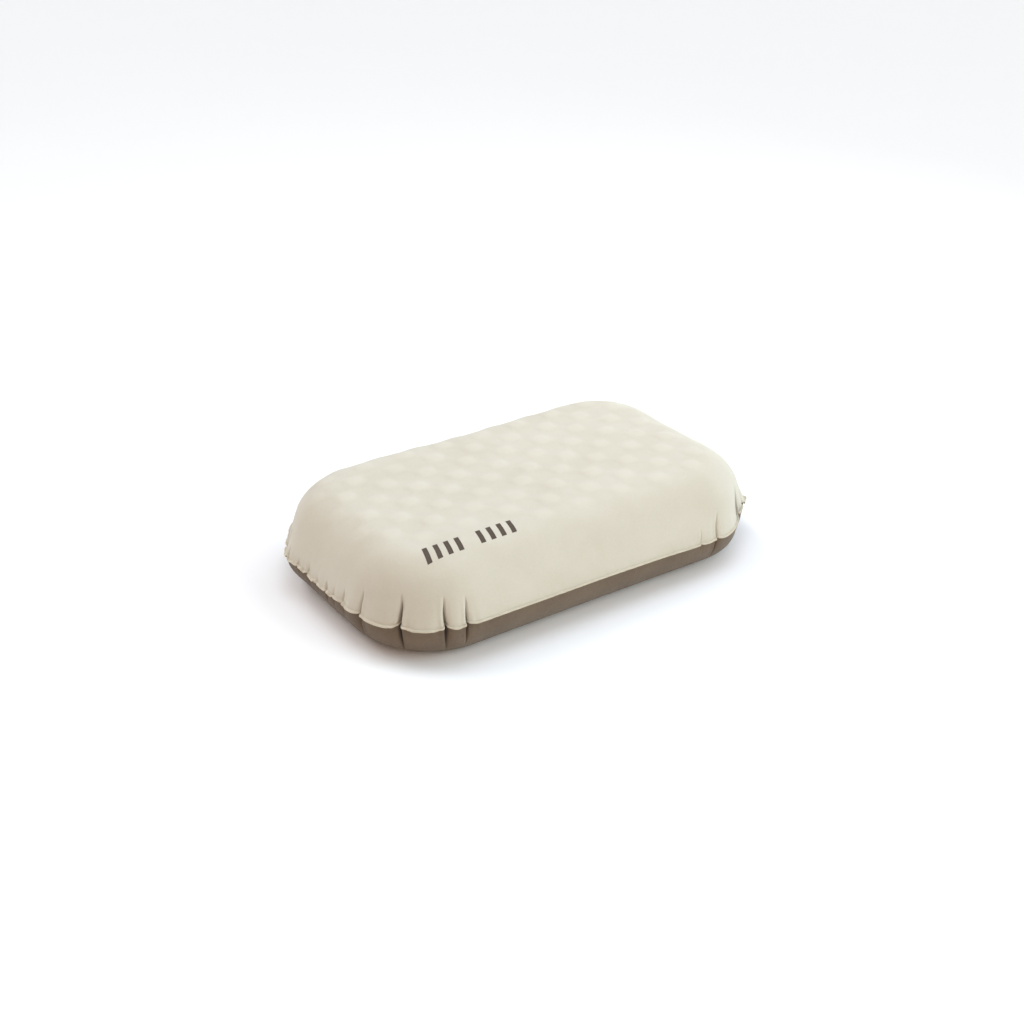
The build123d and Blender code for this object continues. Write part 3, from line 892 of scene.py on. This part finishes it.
def moulded(name, light, dark, rough, grain, **sockets):
    """Moulded plastic or rubber: fine spark grain, slight colour drift and rubbed high spots."""
    n = blank(name)
    place = n.place()
    drift = n.noise(place, 90, 3.0, 0.6)
    fine = n.noise(place, 2400, 3.0, 0.6)
    colour = n.mix(n.ramp(drift, 0.3, 0.7), light, dark)
    rubbed = tuple(min(1.0, 1.25 * c + 0.01) for c in light)
    colour = n.mix(n.ramp(fine, 0.55, 0.8, 0.0, 0.25), colour, rubbed)
    roughness = n.ramp(n.noise(place, 500, 3.0), 0.3, 0.7, rough - 0.08, rough + 0.1)
    return n.finish(colour, roughness, n.bump(fine, grain, 0.5), **sockets)


def wire_material():
    """Drawn steel wire."""
    n = blank("spring_steel")
    place = n.place()
    drawn = n.noise(place, 1800, 4.0, 0.7, 1.5)
    colour = n.mix(drawn, linear(176, 174, 170), linear(128, 126, 124))
    return n.finish(colour, n.ramp(drawn, 0.3, 0.7, 0.22, 0.4), n.bump(drawn, 0.00004, 0.5), Metallic=1.0)


def screen_material():
    """Woven mesh disc."""
    n = blank("woven_screen")
    place = n.place()
    weft = n.waves(place, 0.0005, "Y", 0.1)
    warp = n.waves(place, 0.0005, "Z", 0.1)
    weave = n.math("MAXIMUM", weft, warp)
    # painted shade: the openings between the wires are dark
    colour = n.mix(n.ramp(weave, 0.35, 0.8), linear(40, 38, 34), linear(150, 144, 132))
    return n.finish(colour, n.ramp(weave, 0.3, 0.9, 0.8, 0.5), n.bump(weave, 0.0002, 0.8))


# ---- pieces
CREAM = linear(199, 195, 182), linear(193, 188, 173)
TOP_WORN = linear(214, 206, 184)
BROWN = linear(112, 99, 84), linear(100, 87, 74)
BOTTOM_WORN = linear(126, 113, 95)

top_knit = knit("top_stretch_knit", *CREAM, TOP_WORN, 0.00085, 0.0011, 0.22, 0.00022)
bottom_knit = knit("bottom_grip_knit", *BROWN, BOTTOM_WORN, 0.0010, 0.0010, 0.12, 0.00026)
film = film_material()

billows = {up: Billow(up) for up in (True, False)}

FILM_PLAY = 0.02
film_depths = FABRIC_T + FILM_PLAY, FABRIC_T + FILM_T
top_panel = cloth("top_fabric_panel", True, 2.3, 2.7, 0.0, 0.0, FABRIC_T, top_knit)
bottom_panel = cloth("bottom_fabric_panel", False, 3.0, 6.0, 0.0, 0.0, FABRIC_T, bottom_knit)
top_film = cloth("top_film_liner", True, 2.3, 3.5, FILM_EDGE, *film_depths, film)
bottom_film = cloth("bottom_film_liner", False, 3.0, 6.0, FILM_EDGE, *film_depths, film)

WELD_PROUD, WELD_DEEP = 0.45, 5.2  # how far out of and into the seam the lip reaches
WELD_EASED = 0.15, 0.07  # what its outer corners lose, across and up
WELD_PLAY = 0.01


def weld_strip():
    """The pressed strip between the two flanges, just proud of their cut edges."""
    place = columns()
    core, direction = core_and_direction(place)
    top, low = WELD_TOP - WELD_PLAY, WELD_LOW + WELD_PLAY
    eased = WELD_EASED[0] - WELD_PROUD
    section = [(-WELD_PROUD, top - WELD_EASED[1]), (eased, top), (WELD_DEEP, top),
               (WELD_DEEP, low), (eased, low), (-WELD_PROUD, low + WELD_EASED[1])]
    points, flats = [], []
    for edge, z in section:
        s = TOP.total - max(edge, 0)
        moved = displaced(core + direction * s, True)[0]
        u, base_z, _, _ = TOP.at(np.full(len(place), s))
        plain = np.column_stack([core + direction * u[:, None], base_z])
        strip = np.column_stack([core + direction * (CORNER_R - edge), np.full(len(place), z)])
        points.append(strip + moved - plain)
        flats.append(core + direction * (TOP.total - edge))
    index = np.arange(len(place) * len(section)).reshape(len(section), len(place))
    below = np.roll(index, -1, 0)
    faces = np.stack([index, below, np.roll(below, -1, 1), np.roll(index, -1, 1)], -1).reshape(-1, 4)
    return add_mesh("perimeter_weld_lip", np.concatenate(points), [faces],
                    {"flat": flat_attribute(np.concatenate(flats), 1)}, weld_material())


FOAM_REACH = 86.0
FOAM_ROUND = 8.5, 8.0, 62.0, 46.0  # how much deeper its edges lie, and from and up to where: above, below
FOAM_POCKET = 7.5, 15.5, 26.0  # depth of the hollow at the valve, its flat part and its reach


def foam_core():
    """The foam block with its egg-crate top, a little inside the film and clear of the valve."""
    def side(layout, up):
        point, normal, _, edge = displaced(layout.flat, up)
        extra, start, end_above, end_below = FOAM_ROUND
        deep = FOAM_GAP + extra * (1 - smoothstep(edge, start, end_above if up else end_below))
        if up:
            pocket, flat_to, reach = FOAM_POCKET
            deep = deep + pocket * (1 - smoothstep(valve_distance(layout.flat), flat_to, reach))
        return point - normal * deep[:, None]
    upper = Layout(True, columns(), rings(FOAM_REACH, 3.0, FOAM_EDGE), 4.0)
    lower = Layout(False, columns(), rings(BOTTOM_REACH, 3.0, FOAM_EDGE), 7.0)
    tops, bottoms = side(upper, True), side(lower, False)
    shift = len(tops)
    faces = [upper.quads, upper.tris, lower.quads[:, ::-1] + shift, lower.tris[:, ::-1] + shift,
             wall(np.arange(upper.columns), shift)]
    return add_mesh("foam_block", np.concatenate([tops, bottoms]), faces, {}, foam_material())


BAR_X, BAR_W, BAR_PITCH, BAR_SLANT = -165.0, 5.0, 11.0, 5.0
BAR_GROUPS, BARS_IN_GROUP = (0.0, 56.0), 4
MARK_ON_TOP, MARK_TURN = 8.0, 15.0
INK_T, INK_SUNK = 0.12, 0.02
BAR_ROWS, BAR_COLUMNS = 22, 7


def printed_bars():
    """Two groups of plain slanted bars that follow the cloth over the front shoulder."""
    across, along = np.meshgrid(np.linspace(0, 1, BAR_COLUMNS), np.linspace(0, 1, BAR_ROWS))
    across, along = across.ravel(), along.ravel()
    y_high = -SIDE_Y - SHOULDER_U + MARK_ON_TOP
    y_low = -SIDE_Y - SHOULDER_U - SHOULDER_R * math.sin(math.radians(MARK_TURN))
    size = BAR_ROWS * BAR_COLUMNS
    index = np.arange(size).reshape(BAR_ROWS, BAR_COLUMNS)
    quads = np.stack([index[:-1, :-1], index[:-1, 1:], index[1:, 1:], index[1:, :-1]], -1).reshape(-1, 4)
    rising = TOP.s < TOP_REACH  # where u only grows along the cloth
    points, flats, faces = [], [], []
    for start in BAR_GROUPS:
        for step in range(BARS_IN_GROUP):
            x = BAR_X + start + step * BAR_PITCH + BAR_W * across + BAR_SLANT * along
            plan = np.column_stack([x, y_low + (y_high - y_low) * along])
            core = nearest_core(plan)
            u = np.hypot(*(plan - core).T)
            s = np.interp(u, TOP.u[rising], TOP.s[rising])
            flat = core + (plan - core) * (s / np.maximum(u, 1e-9))[:, None]
            point, normal, _, _ = displaced(flat, True)
            base = len(points) * size * 2
            points.append(np.concatenate([point + normal * INK_T, point - normal * INK_SUNK]))
            flats.append(np.tile(flat, (2, 1)))
            faces += [quads + base, quads[:, ::-1] + base + size, wall(outline(index), size) + base]
    return add_mesh("printed_bars", np.concatenate(points), faces,
                    {"flat": flat_attribute(np.concatenate(flats), 1)}, ink_material())


weld = weld_strip()
foam = foam_core()
bars = printed_bars()


for piece, nodes, slot in (
    (top_panel, ["top_panel"], "top_fabric"), (bottom_panel, ["bottom_panel"], "bottom_fabric"),
    (top_film, ["top_air_film"], "air_film"), (bottom_film, ["bottom_air_film"], "air_film"),
    (weld, ["perimeter_weld"], "weld"), (foam, ["foam_core"], "foam"), (bars, ["printed_mark"], "print_ink"),
):
    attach(piece, "root")
    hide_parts(*nodes)

VALVE_BROWN = linear(104, 92, 76), linear(92, 80, 66)
VALVE_DARK = linear(62, 56, 50), linear(50, 46, 42)
soft_plastic = moulded("soft_valve_tpu", *VALVE_BROWN, 0.5, 0.00008, Specular_IOR_Level=0.4)
hard_plastic = moulded("hard_valve_plastic", *VALVE_DARK, 0.38, 0.00005, Specular_IOR_Level=0.5)
rubber = moulded("clear_silicone", linear(206, 204, 198), linear(188, 186, 178), 0.42, 0.00004,
                 Subsurface_Weight=0.25, Subsurface_Scale=0.002)
LOOKS = {
    soft_plastic: ("valve_base", "cap_tether", "valve_cap"),
    hard_plastic: ("valve_core", "release_button", "stem_clip"),
    rubber: ("check_diaphragm", "cap_seal_ring"),
    screen_material(): ("valve_screen",),
}
for material, nodes in LOOKS.items():
    for node in nodes:
        for slot in frame["nodes"][node].material_slots:
            slot.link = "OBJECT"
            slot.material = material

SPRING_R, WIRE_R, SPRING_TURNS = 3.4, 0.25, 3.5
SPRING_LOW, SPRING_TOP = -5.55, -0.95  # its ends, measured out along the valve's axis
TURN_STEPS, WIRE_SIDES = 32, 12


def spring():
    """The coil under the button, attached to the button's body."""
    u, z, _, _ = TOP.at(VALVE_S)
    centre = np.array([SIDE_X + u, 0, z])
    axis = np.array([math.cos(WALL_LEAN), 0, math.sin(WALL_LEAN)])
    across = np.array([0.0, 1.0, 0.0])
    turn = np.linspace(0, 2 * math.pi * SPRING_TURNS, int(TURN_STEPS * SPRING_TURNS) + 1)
    rise = np.linspace(SPRING_LOW + WIRE_R, SPRING_TOP - WIRE_R, len(turn))
    out = np.cos(turn)[:, None] * across + np.sin(turn)[:, None] * np.cross(axis, across)
    line = centre + SPRING_R * out + rise[:, None] * axis
    along = np.gradient(line, axis=0)
    along /= np.linalg.norm(along, axis=1)[:, None]
    about = 2 * math.pi * np.arange(WIRE_SIDES)[:, None] / WIRE_SIDES
    points = line[:, None] + WIRE_R * (
        np.cos(about) * out[:, None] + np.sin(about) * np.cross(along, out)[:, None])
    index, quads = tube_faces(len(turn), WIRE_SIDES)
    made = add_mesh("return_spring_coil", points.reshape(-1, 3),
                    [quads.reshape(-1, 4), index[:1, ::-1], index[-1:]], {}, wire_material())
    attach(made, "button")
    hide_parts("return_spring")
    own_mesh(made)


spring()

# ---- floor, light and camera
FLOOR_R, DOME_R, ROUND_STEPS = 9.0, 8.5, 64
FLOOR_Z = -0.0003
DOME_LEVELS = 12
SKY, SKY_WARM = (0.36, 0.375, 0.40), (1.02, 0.68, 0.47)
WARM_SIDE = 236.0  # azimuth of the warm side of the sky


def towards(azimuth, elevation):
    """A direction in degrees, counter-clockwise from +X and up."""
    a, e = math.radians(azimuth), math.radians(elevation)
    return math.cos(a) * math.cos(e), math.sin(a) * math.cos(e), math.sin(e)


def floor():
    """A round pale floor, just under the pillow."""
    n = blank("pale_floor")
    place = n.place()
    colour = n.mix(n.noise(place, 3, 3.0), (0.905, 0.925, 0.95), (0.895, 0.915, 0.94))
    n.finish(colour, n.ramp(n.noise(place, 40), 0.3, 0.7, 0.9, 1.0), Specular_IOR_Level=0.0)
    rim = np.array([towards(360 * k / ROUND_STEPS, 0) for k in range(ROUND_STEPS)]) * FLOOR_R / MM
    made = add_mesh("studio_floor", rim, [np.arange(ROUND_STEPS)[None]], {}, n.owner, False)
    made.location.z = FLOOR_Z


def world():
    """An even pale sky that is warmer on one side, like a tan wall beside the table."""
    n = Nodes(bpy.data.worlds.new("sky"))
    bpy.context.scene.world = n.owner
    x, y, _ = towards(WARM_SIDE, 0)
    dot = n.add("ShaderNodeVectorMath", "Value", {
        0: n.add("ShaderNodeTexCoord", "Generated", {}), 1: (x, y, 0.1)}, operation="DOT_PRODUCT")
    n.feed(n.tree.nodes["Background"], {"Color": n.mix(n.ramp(dot, 0.25, 0.95), SKY, SKY_WARM)})


def backdrop():
    """A plain white dome that is only seen, and lets the light of the sky through."""
    n = blank("white_backdrop")
    n.finish((0, 0, 0), None, Specular_IOR_Level=0.0, Emission_Color=(1, 1, 1), Emission_Strength=1.0)
    rise = np.degrees(np.linspace(-0.01, math.pi / 2 - 0.01, DOME_LEVELS))
    points = np.array([towards(360 * k / ROUND_STEPS, e) for e in rise for k in range(ROUND_STEPS)])
    index, quads = tube_faces(DOME_LEVELS, ROUND_STEPS)
    made = add_mesh("studio_backdrop", points * DOME_R / MM,
                    [quads.reshape(-1, 4)[:, ::-1], index[-1:, ::-1]], {}, n.owner, False)
    made.visible_diffuse = made.visible_glossy = made.visible_transmission = made.visible_shadow = False


def lamp(name, kind, at, power, size, colour):
    """A lamp that shines from a place: a square AREA so many metres wide, or a SUN so many degrees wide."""
    data = bpy.data.lights.new(name, kind)
    data.energy, data.color = power, colour
    if kind == "SUN":
        data.angle = math.radians(size)
    else:
        data.size = size
    put(name, data, at, Vector(at).to_track_quat("Z", "Y"))


CAMERA_AT = (-0.6834, -1.0132, 0.7066)
CAMERA_LENS = 48.9
CAMERA_SHIFT = (-0.00813, 0.0358)


def camera():
    """The camera, which looks at the frame's origin, with its picture shifted."""
    data = bpy.data.cameras.new("camera")
    data.lens, data.sensor_width = CAMERA_LENS, 36.0
    data.shift_x, data.shift_y = CAMERA_SHIFT
    bpy.context.scene.camera = put("camera", data, CAMERA_AT, (-Vector(CAMERA_AT)).to_track_quat("-Z", "Y"))


floor()
backdrop()
world()
lamp("overhead", "AREA", (0.0, 0.1, 1.4), 6.3, 0.9, (0.86, 0.95, 1.0))
lamp("right", "AREA", (0.9, 0.1, 0.8), 5.2, 1.0, (0.87, 0.88, 1.0))
lamp("fill", "SUN", towards(-42, 15), 2.66, 60, (0.81, 0.98, 1.0))
lamp("back", "SUN", towards(110, 40), 1.66, 40, (1.0, 0.99, 0.98))
camera()
bpy.context.scene.view_settings.view_transform = "Standard"
